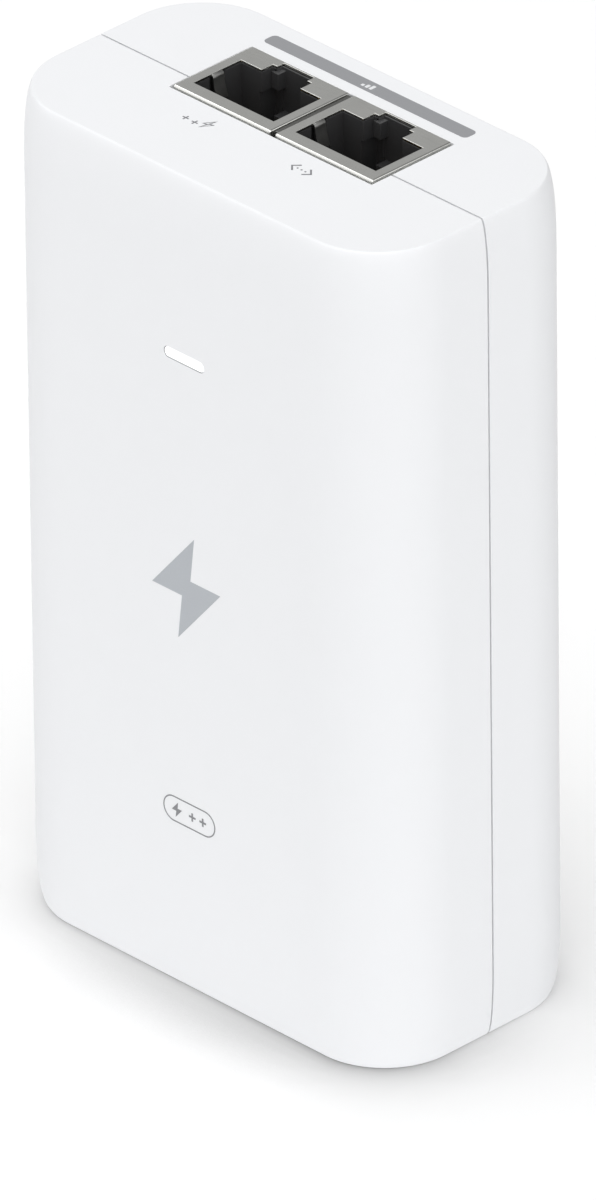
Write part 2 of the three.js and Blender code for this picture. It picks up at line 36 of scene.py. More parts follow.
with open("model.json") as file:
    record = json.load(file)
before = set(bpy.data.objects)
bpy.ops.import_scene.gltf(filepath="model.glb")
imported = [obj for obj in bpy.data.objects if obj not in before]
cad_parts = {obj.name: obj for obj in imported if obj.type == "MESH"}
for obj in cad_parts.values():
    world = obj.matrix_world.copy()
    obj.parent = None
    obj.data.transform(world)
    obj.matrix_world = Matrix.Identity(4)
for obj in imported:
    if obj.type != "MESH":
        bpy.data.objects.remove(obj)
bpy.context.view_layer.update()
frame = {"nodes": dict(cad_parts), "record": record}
MM = 0.001

# ---------------------------------------------------------------- sizes, in millimetres

CASE_LOW, CASE_HIGH = (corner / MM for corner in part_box("front_shell"))
HALF_WIDTH = CASE_HIGH.x
HALF_DEPTH = -CASE_LOW.y
HEIGHT = CASE_HIGH.z
CORNER = 10.0
FOOT_CORNER = 9.0
WALL = 2.0
SHOULDER_HEIGHT = 8.0
SHOULDER_TUCK = 1.0
SEAM_Y = 0.2
SEAM_GAP = 0.2
TONGUE_INSET = 1.1
TONGUE_REACH = 1.5

LENS_X = 0.26
LENS_Z = 78.2
LENS_WIDTH = 6.0
LENS_HEIGHT = 1.22
LENS_ROOM = 0.09
LENS_RECESS = 0.14
LENS_LENGTH = 5.8
# The grey ring around the lens is painted shade: it stands for the shadow in the gap at the rim of
# the lens window.
SHADE_RING_RECESS = 0.11
SHADE_RING_WIDTH = 0.05

JACK_X = 7.7
JACK = {"half": 7.325, "front": -2.5, "rear": 9.4, "top": 100.2, "bottom": 81.6}
MOUTH = {
    "half": 6.075,
    "front": -0.62,
    "rear": 6.42,
    "latch": 2.96,
    "latch_rear": 8.11,
    "key": 2.29,
    "key_rear": 9.11,
}
SHEET = 0.25
FOLD_RADIUS = 0.42
CAVITY_DEPTH = 14.5
CAVITY_KEY_REAR = 8.87
CONTACTS = 8
CONTACT_PITCH = 1.016
BRIDGE_HALF = 0.33
JACK_ROOM = 0.28
REAR_ROOM = 0.15
INLET_Y = -0.6
INLET_HALF = (13.9, 9.9)
INLET_ROOM = 0.18
INK = 0.02  # thickness of a printed mark
INK_SINK = 0.01
INK_LINE = 0.15  # width of a printed outline
RIM_ROUNDING = 0.07
EDGE_TURN = 38  # degrees between two faces from which their edge is rounded

# ---------------------------------------------------------------- shader maths


class Value:
    """A shader socket that can stand in a sum."""

    def __init__(self, tree, socket):
        self.tree = tree
        self.socket = socket

    def combine(self, operation, first, second):
        node = self.tree.nodes.new("ShaderNodeMath")
        node.operation = operation
        for entry, value in zip(node.inputs, (first, second)):
            if isinstance(value, Value):
                self.tree.links.new(value.socket, entry)
            else:
                entry.default_value = value
        return Value(self.tree, node.outputs[0])

    def power(self, exponent):
        return self.combine("POWER", self, exponent)

    def greater(self, other):
        return self.combine("MAXIMUM", self, other)

    def lesser(self, other):
        return self.combine("MINIMUM", self, other)

    def magnitude(self):
        return self.combine("ABSOLUTE", self, 0.0)

    def exponent(self):
        return self.combine("EXPONENT", self, 0.0)

    def __add__(self, other):
        return self.combine("ADD", self, other)

    def __radd__(self, other):
        return self.combine("ADD", other, self)

    def __sub__(self, other):
        return self.combine("SUBTRACT", self, other)

    def __rsub__(self, other):
        return self.combine("SUBTRACT", other, self)

    def __mul__(self, other):
        return self.combine("MULTIPLY", self, other)

    def __rmul__(self, other):
        return self.combine("MULTIPLY", other, self)


class Finish:
    """A material around one Principled shader, whose fixed values are set on its own sockets."""

    def __init__(self, name, **fixed):
        self.material = bpy.data.materials.new(name)
        self.material.use_nodes = True
        self.tree = self.material.node_tree
        self.shader = self.tree.nodes["Principled BSDF"]
        for socket, value in fixed.items():
            self.shader.inputs[socket.replace("_", " ")].default_value = value

    def node(self, kind, settings=None, output=0, **sockets):
        """Any other node: its settings first, and then the values or links of its sockets."""
        node = self.tree.nodes.new(kind)
        for setting, value in (settings or {}).items():
            setattr(node, setting, value)
        for socket, value in sockets.items():
            entry = node.inputs[socket.replace("_", " ")]
            if isinstance(value, Value):
                self.tree.links.new(value.socket, entry)
            else:
                entry.default_value = value
        return Value(self.tree, node.outputs[output])

    def feed(self, socket, value):
        self.tree.links.new(value.socket, self.shader.inputs[socket])

    def place(self, stretch=(1, 1, 1)):
        """Object coordinates, stretched along the axes."""
        coordinates = self.tree.nodes.new("ShaderNodeTexCoord").outputs["Object"]
        return self.node("ShaderNodeMapping", Vector=Value(self.tree, coordinates), Scale=stretch)

    def grain(self, size, stretch=(1, 1, 1), detail=2.0):
        """Noise with lumps of a size in metres, from 0 to 1."""
        place = self.place(stretch)
        return self.node("ShaderNodeTexNoise", Vector=place, Scale=1 / size, Detail=detail)

    def mix(self, factor, first, second):
        """A colour between two others."""
        node = self.tree.nodes.new("ShaderNodeMix")
        node.data_type = "RGBA"
        for entry, value in ((0, factor), (6, first), (7, second)):
            if isinstance(value, Value):
                self.tree.links.new(value.socket, node.inputs[entry])
            else:
                node.inputs[entry].default_value = value
        return Value(self.tree, node.outputs[2])

    def bumps(self, height, depth, strength=1.0):
        """Feeds the normal from a height from 0 to 1, which is depth metres high."""
        bump = self.node("ShaderNodeBump", Height=height, Distance=depth, Strength=strength)
        self.feed("Normal", bump)


def rgb(red, green, blue):
    """A colour from display values from 0 to 255."""
    def linear(value):
        value /= 255
        return value / 12.92 if value <= 0.04045 else ((value + 0.055) / 1.055) ** 2.4

    return (linear(red), linear(green), linear(blue), 1.0)


def shade(colour, share):
    """A colour made darker or lighter."""
    return tuple(min(1.0, channel * share) for channel in colour[:3]) + (1.0,)


def moulded(name, colour, roughness, texture=0.12 * MM, depth=0.004 * MM, spread=0.03, **fixed):
    """Moulded plastic: a fine spark-eroded texture, and a slow drift in tone and gloss."""
    finish = Finish(name, **fixed)
    drift = finish.grain(9 * MM, detail=3.0)
    fine = finish.grain(texture, detail=4.0)
    tones = (shade(colour, 1 - spread), shade(colour, 1 + spread))
    finish.feed("Base Color", finish.mix(drift, *tones))
    finish.feed("Roughness", roughness - 0.04 + 0.05 * drift + 0.05 * fine)
    finish.bumps(fine, depth)
    return finish.material


def plated(name, colour, roughness, along=(0.04, 1, 1), streak=0.08 * MM):
    """Plated or drawn metal, with fine streaks along the axis that along makes long."""
    finish = Finish(name, Metallic=1.0)
    streaks = finish.grain(streak, stretch=along, detail=5.0)
    cloud = finish.grain(2.5 * MM, detail=3.0)
    tone = 0.55 * streaks + 0.45 * cloud
    finish.feed("Base Color", finish.mix(tone, shade(colour, 0.88), shade(colour, 1.1)))
    finish.feed("Roughness", roughness - 0.05 + 0.12 * streaks)
    finish.bumps(streaks, 0.0012 * MM)
    return finish.material


def printed(name, colour):
    """Pad-printed ink: nearly even, with the pad's faint mottling."""
    finish = Finish(name)
    mottle = finish.grain(0.25 * MM, detail=4.0)
    finish.feed("Base Color", finish.mix(mottle, shade(colour, 0.96), shade(colour, 1.04)))
    finish.feed("Roughness", 0.45 + 0.12 * mottle)
    finish.bumps(mottle, 0.002 * MM)
    return finish.material


# ---------------------------------------------------------------- modelling helpers


def fresh():
    """Leaves edit mode and selects nothing."""
    if bpy.context.object and bpy.context.object.mode != "OBJECT":
        bpy.ops.object.mode_set(mode="OBJECT")
    bpy.ops.object.select_all(action="DESELECT")


def activate(piece):
    fresh()
    piece.select_set(True)
    bpy.context.view_layer.objects.active = piece


def settle(piece):
    """Puts the piece's place into its mesh."""
    activate(piece)
    bpy.ops.object.transform_apply(location=True, rotation=True, scale=True)
    return piece


def block(name, low, high):
    """A cube primitive at its size and place, given in millimetres."""
    fresh()
    middle = [(a + b) / 2 * MM for a, b in zip(low, high)]
    size = [(b - a) * MM for a, b in zip(low, high)]
    bpy.ops.mesh.primitive_cube_add(size=1, location=middle, scale=size)
    piece = bpy.context.object
    piece.name = piece.data.name = name
    return settle(piece)


def pick(piece, kind, test):
    """Enters edit mode with only those vertices, edges or faces selected that pass the test."""
    activate(piece)
    bpy.ops.object.mode_set(mode="EDIT")
    kinds = ("verts", "edges", "faces")
    bpy.context.tool_settings.mesh_select_mode = tuple(kind == each for each in kinds)
    bpy.ops.mesh.select_all(action="DESELECT")
    mesh = bmesh.from_edit_mesh(piece.data)
    for part in getattr(mesh, kind):
        if test(part):
            part.select_set(True)
    mesh.select_flush_mode()
    bmesh.update_edit_mesh(piece.data)


def modify(piece, kind, **settings):
    """Adds a modifier, sets it and applies it."""
    activate(piece)
    modifier = piece.modifiers.new(kind.title(), kind)
    for setting, value in settings.items():
        setattr(modifier, setting, value)
    bpy.ops.object.modifier_apply(modifier=modifier.name)


def carve(piece, *cutters, operation="DIFFERENCE"):
    """Cuts the cutters out of the piece, or joins them to it."""
    for cutter in cutters:
        modify(piece, "BOOLEAN", operation=operation, solver="EXACT", object=cutter)
        bpy.data.objects.remove(cutter)


def join(piece, *others):
    """Makes one mesh of several."""
    activate(piece)
    for other in others:
        other.select_set(True)
    bpy.ops.object.join()


def copy_of(piece, name):
    """A copy with its own mesh."""
    twin = piece.copy()
    twin.data = piece.data.copy()
    twin.name = twin.data.name = name
    bpy.context.scene.collection.objects.link(twin)
    return twin


def vertical(edge):
    a, b = (vertex.co for vertex in edge.verts)
    return abs(a.x - b.x) + abs(a.y - b.y) < 1e-6


def round_prism(name, inset, low, high, segments):
    """The case's plan, drawn in by inset, from one height to another."""
    x = HALF_WIDTH - inset
    y = HALF_DEPTH - inset
    piece = block(name, (-x, -y, low), (x, y, high))
    pick(piece, "edges", vertical)
    bpy.ops.mesh.bevel(
        offset=(CORNER - inset) * MM,
        segments=segments,
        profile=0.5,
        affect="EDGES",
        clamp_overlap=False,
    )
    bpy.ops.object.mode_set(mode="OBJECT")
    return piece


def flat_at(height, direction):
    """A test for the faces at a height that face up (1) or down (-1)."""
    def test(face):
        above = face.calc_center_median().z - height * MM
        return face.normal.z * direction > 0.9 and abs(above) < 1e-6

    return test


def case_solid(name, steps=14):
    """The outer form: the wall, then each end raised and drawn in step by step along its
    shoulder."""
    piece = round_prism(name, 0, SHOULDER_HEIGHT, HEIGHT - SHOULDER_HEIGHT, 24)
    for height, direction in ((HEIGHT - SHOULDER_HEIGHT, 1), (SHOULDER_HEIGHT, -1)):
        pick(piece, "faces", flat_at(height, direction))
        for step in range(steps):
            start, end = (math.pi / 2 * (step + i) / steps for i in (0, 1))
            bpy.ops.mesh.inset(
                thickness=SHOULDER_TUCK * (math.cos(start) - math.cos(end)) * MM,
                depth=SHOULDER_HEIGHT * (math.sin(end) - math.sin(start)) * MM,
                use_even_offset=True,
            )
        bpy.ops.object.mode_set(mode="OBJECT")
    return piece


def keep_side(piece, y, behind):
    """Cuts the piece at a Y plane, keeps what is behind or in front of it, and closes the cut."""
    pick(piece, "verts", lambda vertex: True)
    bpy.ops.mesh.bisect(
        plane_co=(0, y * MM, 0),
        plane_no=(0, 1, 0),
        use_fill=True,
        clear_inner=behind,
        clear_outer=not behind,
    )
    bpy.ops.object.mode_set(mode="OBJECT")
    return piece


def soften_edges(piece, test, width, segments=2):
    """Rounds the sharp edges, each to the share of the width that the test gives it."""
    activate(piece)
    mesh = bmesh.new()
    mesh.from_mesh(piece.data)
    weight = mesh.edges.layers.float.get("bevel_weight_edge") or mesh.edges.layers.float.new(
        "bevel_weight_edge"
    )
    for edge in mesh.edges:
        sharp = len(edge.link_faces) == 2 and edge.calc_face_angle(0) > math.radians(EDGE_TURN)
        edge[weight] = float(test(edge)) if sharp else 0.0
    mesh.to_mesh(piece.data)
    mesh.free()
    modify(
        piece,
        "BEVEL",
        limit_method="WEIGHT",
        width=width * MM,
        segments=segments,
        use_clamp_overlap=True,
    )


def smooth(piece, degrees=35):
    """Smooth shading, with flat faces kept flat."""
    activate(piece)
    bpy.ops.object.shade_smooth_by_angle(angle=math.radians(degrees))
    modify(piece, "WEIGHTED_NORMAL", keep_sharp=True, weight=60)


def dress(piece, material, node=None, body="case"):
    """Gives the piece its material and its body, and hides the CAD node that it stands for."""
    piece.data.materials.clear()
    piece.data.materials.append(material)
    if node:
        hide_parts(node)
    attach(piece, body)
    return piece


# ---------------------------------------------------------------- flat outlines


def stadium(width, height, steps=12):
    """A slot with round ends, around (0, 0)."""
    radius = height / 2
    ends = [(1, -math.pi / 2), (-1, math.pi / 2)]
    return [
        (
            side * (width / 2 - radius) + radius * math.cos(start + math.pi * i / steps),
            radius * math.sin(start + math.pi * i / steps),
        )
        for side, start in ends
        for i in range(steps + 1)
    ]


def rounded_rectangle(x0, x1, y0, y1, radius, steps=6):
    corners = [
        (x1 - radius, y0 + radius),
        (x1 - radius, y1 - radius),
        (x0 + radius, y1 - radius),
        (x0 + radius, y0 + radius),
    ]
    return [
        (
            cx + radius * math.cos(math.pi / 2 * (turn - 1 + i / steps)),
            cy + radius * math.sin(math.pi / 2 * (turn - 1 + i / steps)),
        )
        for turn, (cx, cy) in enumerate(corners)
        for i in range(steps + 1)
    ]


def disc(x, y, radius, sides=14):
    turns = (2 * math.pi * i / sides for i in range(sides))
    return [(x + radius * math.cos(turn), y + radius * math.sin(turn)) for turn in turns]


def offset_path(points, distance, closed):
    """A path moved sideways by a distance, with mitred corners that are not drawn out far."""
    count = len(points)
    path = []
    for i, point in enumerate(points):
        here = Vector(point)
        before = Vector(points[i - 1]) if closed or i > 0 else None
        after = Vector(points[(i + 1) % count]) if closed or i < count - 1 else None
        normals = [
            Vector((-(b - a).y, (b - a).x)).normalized()
            for a, b in ((before, here), (here, after))
            if a is not None and b is not None
        ]
        mitre = sum(normals, Vector((0, 0))).normalized()
        path.append(tuple(here + mitre * distance / max(mitre.dot(normals[0]), 0.55)))
    return path


def stroke(points, width):
    """A line of a width along an open path, as an outline."""
    return offset_path(points, width / 2, False) + offset_path(points, -width / 2, False)[::-1]


def hollow(points, width):
    """A closed outline drawn as a line of a width: its outer and inner edges."""
    return [offset_path(points, width / 2, True), offset_path(points, -width / 2, True)]


def moved(points, x, y, scale=1.0):
    """An outline scaled about (0, 0) and then moved."""
    return [(x + a * scale, y + b * scale) for a, b in points]


def drawn(name, outlines, plane, level, thickness, sink=0.0):
    """Flat outlines in millimetres, filled and made thickness thick, on the top (level is Z) or
    on the front (level is Y). Its foot is sunk by sink into the surface."""
    curve = bpy.data.curves.new(name, "CURVE")
    curve.dimensions = "2D"
    curve.fill_mode = "BOTH"
    curve.extrude = (thickness + sink) / 2 * MM
    for outline in outlines:
        spline = curve.splines.new("POLY")
        spline.points.add(len(outline) - 1)
        for point, (a, b) in zip(spline.points, outline):
            point.co = (a * MM, b * MM, 0, 1)
        spline.use_cyclic_u = True
    piece = bpy.data.objects.new(name, curve)
    bpy.context.scene.collection.objects.link(piece)
    activate(piece)
    bpy.ops.object.convert(target="MESH")
    piece = bpy.context.object
    piece.data.name = name
    if plane == "top":
        piece.location = (0, 0, (level + (thickness - sink) / 2) * MM)
    else:
        piece.rotation_euler = Euler((math.pi / 2, 0, 0))
        piece.location = (0, (level - (thickness - sink) / 2) * MM, 0)
    settle(piece)
    pick(piece, "verts", lambda vertex: True)
    bpy.ops.mesh.remove_doubles(threshold=1e-7)
    bpy.ops.mesh.normals_make_consistent(inside=False)
    bpy.ops.object.mode_set(mode="OBJECT")
    return piece


# ---------------------------------------------------------------- camera, light and floor

VIEW = {"azimuth": 45.80, "elevation": 30.02, "roll": -0.654, "distance": 2824, "lens": 800}
VIEW_CENTRE = {"across": 0.985, "down": 50.19}  # from the middle of the top, in the view's plane
SENSOR = 36


def make_camera():
    azimuth, elevation, roll = (math.radians(VIEW[k]) for k in ("azimuth", "elevation", "roll"))
    back = Vector((
        math.sin(azimuth) * math.cos(elevation),
        -math.cos(azimuth) * math.cos(elevation),
        math.sin(elevation),
    ))
    level_right = Vector((math.cos(azimuth), math.sin(azimuth), 0))
    level_up = back.cross(level_right)
    right = level_right * math.cos(roll) + level_up * math.sin(roll)
    up = level_up * math.cos(roll) - level_right * math.sin(roll)
    top = Vector((0, 0, HEIGHT))
    centre = top + right * VIEW_CENTRE["across"] - up * VIEW_CENTRE["down"]
    place = centre + back * VIEW["distance"]
    data = bpy.data.cameras.new("view_camera")
    data.lens = VIEW["lens"]
    data.sensor_width = SENSOR
    data.clip_end = 20
    camera = bpy.data.objects.new("view_camera", data)
    bpy.context.scene.collection.objects.link(camera)
    turn = Matrix((right, up, back)).transposed().to_4x4()
    camera.matrix_world = Matrix.Translation(place * MM) @ turn
    bpy.context.scene.camera = camera


def area_light(name, place, aim, size, power):
    """A panel of a size in metres and a power in watts, turned towards its aim."""
    data = bpy.data.lights.new(name, "AREA")
    data.shape = "RECTANGLE"
    data.size, data.size_y = size
    data.energy = power
    light = bpy.data.objects.new(name, data)
    bpy.context.scene.collection.objects.link(light)
    light.location = place
    light.rotation_euler = (Vector(aim) - Vector(place)).to_track_quat("-Z", "Y").to_euler()


def make_studio():
    """Soft light from the left, the right and the front corner, dim from behind. The backdrop
    that the camera sees stays plain white."""
    world = bpy.data.worlds.new("studio")
    bpy.context.scene.world = world
    world.use_nodes = True
    tree = world.node_tree
    background = tree.nodes["Background"]
    background.inputs["Color"].default_value = (1.0, 1.0, 1.0, 1.0)
    direction = Value(tree, tree.nodes.new("ShaderNodeTexCoord").outputs["Generated"])

    def lobe(aim, strength):
        node = tree.nodes.new("ShaderNodeVectorMath")
        node.operation = "DOT_PRODUCT"
        tree.links.new(direction.socket, node.inputs[0])
        node.inputs[1].default_value = aim
        return Value(tree, node.outputs["Value"]).greater(0.0) * strength

    sides = lobe((-1, 0, 0), 0.5) + lobe((1, 0, 0), 0.79)
    soft = 0.05 + sides + lobe((0.707, -0.707, 0), 0.62)
    seen = Value(tree, tree.nodes.new("ShaderNodeLightPath").outputs["Is Camera Ray"])
    strength = soft * (1.0 - seen) + seen
    tree.links.new(strength.socket, background.inputs["Strength"])
    area_light("overhead", (0.0, -0.1, 0.9), (0, 0, 0.06), (0.8, 0.8), 4.85)
    area_light("upper_left_panel", (-0.6, 0.05, 0.72), (0, 0, 0.1), (0.3, 0.3), 0.5)
    area_light("left_panel", (-0.62, -0.42, 0.42), (0, 0, 0.06), (0.5, 0.9), 1.02)
    area_light("corner_panel", (0.6, -0.6, 0.5), (0, 0, 0.06), (0.5, 0.5), 0.88)
    bpy.context.scene.view_settings.view_transform = "Standard"


FLOOR_SIZE = 6  # metres
FLOOR_DROP = 0.05
FLOOR_GLOW = 0.13
# The floor's painted shadow: a dark edge around the foot of the case, from occlusion and from the
# distance to the foot, deeper towards the front corner.
SHADOW_REACH = 22.0  # how far the floor looks for what closes it in
CREVICE_SHADE = {"power": 2.3, "strength": 0.46, "most": 0.42}
NEAR_SHADOW = {"strength": 0.36, "length": 2.6}
FAR_SHADOW = {"strength": 0.2, "length": 9.0}
SHADOW_SLANT = {"base": 0.3, "across": 0.25, "slope": 0.035, "least": 0.3, "most": 1.3}
# Painted light: a glow of the floor near the foot, which lights the case's lower wall.
BOUNCE = {"strength": 0.55, "length": 10.0}


def distance_outside(place_x, place_y):
    """How far a place on the floor lies outside the foot of the case, in millimetres."""
    across, along = (
        (place.magnitude() - (half - SHOULDER_TUCK - FOOT_CORNER) * MM).greater(0.0) * (1 / MM)
        for place, half in ((place_x, HALF_WIDTH), (place_y, HALF_DEPTH))
    )
    return ((across.power(2.0) + along.power(2.0)).power(0.5) - FOOT_CORNER).greater(0.0)


def fading(away, strength, length):
    return (away * (-1 / length)).exponent() * strength


def make_floor():
    """A pale satin floor with a painted shadow: a soft dark edge around what stands on it, deepest
    where the floor is closed in and towards the front corner, which only the camera sees. Other
    rays meet a floor that is even, with painted light: it glows a little more close to the foot."""
    fresh()
    bpy.ops.mesh.primitive_plane_add(size=FLOOR_SIZE, location=(0, 0, -FLOOR_DROP * MM))
    floor = bpy.context.object
    floor.name = "floor"
    finish = Finish(
        "pale_floor", Roughness=0.5, Specular_IOR_Level=0.0, Emission_Strength=FLOOR_GLOW
    )
    reach = SHADOW_REACH * MM
    open_share = finish.node(
        "ShaderNodeAmbientOcclusion", {"samples": 16}, output="AO", Distance=reach
    )
    # Painted shade where the floor is closed in, from the occlusion.
    closed_share = ((1.0 - open_share) * 2.0).power(CREVICE_SHADE["power"])
    crevice_shade = (closed_share * CREVICE_SHADE["strength"]).lesser(CREVICE_SHADE["most"])
    spot = finish.node("ShaderNodeSeparateXYZ", Vector=finish.place()).socket.node.outputs
    spot_x, spot_y = (Value(finish.tree, spot[axis]) for axis in (0, 1))
    away = distance_outside(spot_x, spot_y)
    # Painted shadow that fades with the distance from the foot.
    blur_shadow = fading(away, **NEAR_SHADOW) + fading(away, **FAR_SHADOW)
    # The painted shadow is made deeper towards the front corner.
    forward = (spot_x * SHADOW_SLANT["across"] - spot_y) * (SHADOW_SLANT["slope"] / MM)
    shadow_slant_share = (SHADOW_SLANT["base"] + forward).greater(SHADOW_SLANT["least"]).lesser(SHADOW_SLANT["most"])
    seen = finish.node("ShaderNodeLightPath", output="Is Camera Ray")
    shadow = crevice_shade.greater(blur_shadow) * shadow_slant_share * seen
    black = (0.0, 0.0, 0.0, 1)
    finish.feed("Base Color", finish.mix(shadow, (0.88, 0.88, 0.88, 1), black))
    # Painted light: other rays see the floor glow more close to the foot.
    glow = 1.0 + fading(away, **BOUNCE) * (1.0 - seen)
    even = finish.mix(shadow, (1.0, 1.0, 1.0, 1), black)
    scaled = finish.node("ShaderNodeVectorMath", {"operation": "SCALE"}, Vector=even, Scale=glow)
    finish.feed("Emission Color", scaled)
    floor.data.materials.append(finish.material)


# ---------------------------------------------------------------- finishes

WHITE = moulded("white_case", rgb(231, 232, 234), 0.5, spread=0.006)
BLACK = moulded("black_plastic", rgb(56, 56, 57), 0.42)
NICKEL = plated("jack_shield", rgb(242, 242, 238), 0.2)
# Painted shade: a darker copy of the shield's nickel for the groove between the two shields.
BRIDGE_SHADE = plated("jack_bridge", rgb(124, 124, 122), 0.45)
# Painted shade: a darker copy of the shield's nickel for the fingers, which sit in the mouth's
# shade.
FINGER_SHADE = plated("ground_finger", rgb(150, 150, 148), 0.36)
# Painted shade: the grey of the ring in the gap around the lens.
SHADE_RING_FINISH = moulded("lens_shade_ring", rgb(150, 151, 153), 0.7)
GREY_INK = printed("grey_ink", rgb(128, 129, 132))
PALE_INK = printed("pale_ink", rgb(172, 176, 181))
STRIP_INK = printed("strip_ink", rgb(143, 144, 147))
WHITE_INK = printed("white_ink", rgb(222, 223, 225))
LENS = moulded(
    "light_pipe",
    rgb(250, 251, 252),
    0.25,
    Emission_Color=(1.0, 1.0, 1.0, 1.0),
    Emission_Strength=0.35,
)

# ---------------------------------------------------------------- the case


def jack_window(name):
    x = JACK_X + JACK["half"] + JACK_ROOM
    return block(
        name,
        (-x, JACK["front"] - JACK_ROOM, HEIGHT - WALL - 1),
        (x, JACK["rear"] + REAR_ROOM, HEIGHT + 1),
    )


def inlet_window(name):
    x = INLET_HALF[0] + INLET_ROOM
    y = INLET_HALF[1] + INLET_ROOM
    return block(name, (-x, INLET_Y - y, -1), (x, INLET_Y + y, WALL + 1))


def rim(edge):
    """The share of the rounding that an edge gets: those of the windows and of the seam, on the
    outside."""
    a, b = (vertex.co / MM for vertex in edge.verts)
    middle = (a + b) / 2
    outside = 0.9 * TONGUE_INSET
    on_end = all(abs(v.z - HEIGHT) < 0.01 or abs(v.z) < 0.01 for v in (a, b))
    in_plan = abs(middle.x) < HALF_WIDTH - 2 and abs(middle.y) < HALF_DEPTH - 2
    near_wall = (
        abs(middle.x) > HALF_WIDTH - outside
        or middle.z > HEIGHT - 0.3
        or middle.z < 0.3
    )
    on_seam = abs(a.y - b.y) < 1e-4 and abs(abs(middle.y - SEAM_Y) - SEAM_GAP / 2) < 0.01
    at_lens = (
        all(abs(v.y + HALF_DEPTH) < 0.01 for v in (a, b))
        and abs(middle.z - LENS_Z) < 2
        and abs(middle.x) < 4
    )
    if (on_end and in_plan) or (on_seam and near_wall):
        return 1.0
    return 0.3 if at_lens else 0.0


def hollow_out(piece):
    """Cuts the inside and the windows out of the piece."""
    carve(piece, round_prism("cavity", WALL, WALL, HEIGHT - WALL, 16))
    carve(piece, jack_window("jack_window"), inlet_window("inlet_window"))


def front_case(solid):
    piece = keep_side(copy_of(solid, "case_front"), SEAM_Y - SEAM_GAP / 2, behind=False)
    hollow_out(piece)
    inset = TONGUE_INSET - 0.15
    rebate = round_prism("rebate", inset, inset, HEIGHT - TONGUE_INSET + 0.15, 16)
    carve(piece, keep_side(rebate, SEAM_Y - SEAM_GAP / 2 - TONGUE_REACH - 0.4, behind=True))
    window = drawn(
        "lens_window",
        [moved(stadium(LENS_WIDTH + 2 * LENS_ROOM, LENS_HEIGHT + 2 * LENS_ROOM), LENS_X, LENS_Z)],
        "front",
        -HALF_DEPTH,
        1,
        sink=WALL + 1,
    )
    carve(piece, window)
    soften_edges(piece, rim, RIM_ROUNDING)
    smooth(piece)
    return dress(piece, WHITE, "front_shell")


def rear_case(solid):
    piece = keep_side(copy_of(solid, "case_rear"), SEAM_Y + SEAM_GAP / 2, behind=True)
    carve(piece, round_prism("cavity", WALL, WALL, HEIGHT - WALL, 16))
    tongue = round_prism("tongue", TONGUE_INSET, TONGUE_INSET, HEIGHT - TONGUE_INSET, 16)
    carve(tongue, round_prism("cavity", WALL, WALL, HEIGHT - WALL, 16))
    keep_side(tongue, SEAM_Y - SEAM_GAP / 2 - TONGUE_REACH, behind=True)
    keep_side(tongue, SEAM_Y + SEAM_GAP / 2 + 0.5, behind=False)
    carve(piece, tongue, operation="UNION")
    carve(piece, jack_window("jack_window"), inlet_window("inlet_window"))
    soften_edges(piece, rim, RIM_ROUNDING)
    smooth(piece)
    return dress(piece, WHITE, "rear_shell")


def make_case():
    solid = case_solid("case_solid")
    front_case(solid)
    rear_case(solid)
    bpy.data.objects.remove(solid)


# ---------------------------------------------------------------- status light


def make_lens():
    """The lens, slightly below its rim, with a softened edge, the bar behind it, and a grey ring
    of painted shade around it, for the shadow in the gap at the window's rim."""
    front = -HALF_DEPTH + LENS_RECESS
    outline = moved(stadium(LENS_WIDTH, LENS_HEIGHT, 16), LENS_X, LENS_Z)
    piece = drawn("status_lens", [outline], "front", front, 0, sink=LENS_LENGTH)
    low, high = (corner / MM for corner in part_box("light_pipe"))
    bar = block("bar", (-1.6, -HALF_DEPTH + 5.5, low.z + 0.3), (1.6, high.y, high.z - 0.1))
    carve(piece, bar, operation="UNION")

    def on_front(edge):
        return all(abs(vertex.co.y - front * MM) < 1e-6 for vertex in edge.verts)

    soften_edges(piece, on_front, 0.1, 3)
    smooth(piece)
    dress(piece, LENS, "light_pipe")
    room = LENS_ROOM * 1.5
    outline = moved(stadium(LENS_WIDTH + room, LENS_HEIGHT + room, 16), LENS_X, LENS_Z)
    ring = hollow(outline, SHADE_RING_WIDTH)
    # The grey ring is painted shade, for the shadow in the gap around the lens.
    shade_ring = drawn("lens_shade_ring", ring, "front", -HALF_DEPTH + SHADE_RING_RECESS, 0, sink=1.5)
    smooth(shade_ring)
    dress(shade_ring, SHADE_RING_FINISH)


# ---------------------------------------------------------------- jacks


def mouth_outline(key_rear=MOUTH["key_rear"], margin=0.0):
    """The stepped outline of a jack's mouth."""
    right = [
        (MOUTH["half"] - margin, MOUTH["front"] + margin),
        (MOUTH["half"] - margin, MOUTH["rear"] - margin),
        (MOUTH["latch"] - margin, MOUTH["rear"] - margin),
        (MOUTH["latch"] - margin, MOUTH["latch_rear"] - margin),
        (MOUTH["key"] - margin, MOUTH["latch_rear"] - margin),
        (MOUTH["key"] - margin, key_rear),
    ]
    return right + [(-x, y) for x, y in reversed(right)]


def standing_at(piece, x):
    """Moves the piece's mesh along X, in millimetres."""
    piece.location.x = x * MM
    return settle(piece)


def finger():
    """A ground finger: a strip of the sheet, rolled over the edge of the mouth and bowed into the
    cavity."""
    edge = MOUTH["half"]
    top = JACK["top"]
    roll = [
        (edge + 0.3 - 0.5 * math.sin(turn), top - 0.62 + 0.5 * math.cos(turn))
        for turn in (math.pi / 2 * i / 6 for i in range(7))
    ]
    bow = [
        (edge - inward, top - down)
        for inward, down in ((0.32, 1.6), (0.75, 2.9), (0.78, 3.5), (0.3, 5.2))
    ]
    path = [(edge + 0.7, top - 0.12)] + roll + bow
    strip = drawn("finger", [stroke(path, 0.2)], "front", 2.05, 0, sink=1.6)
    soften_edges(strip, lambda line: 1.0, 0.045)
    return strip


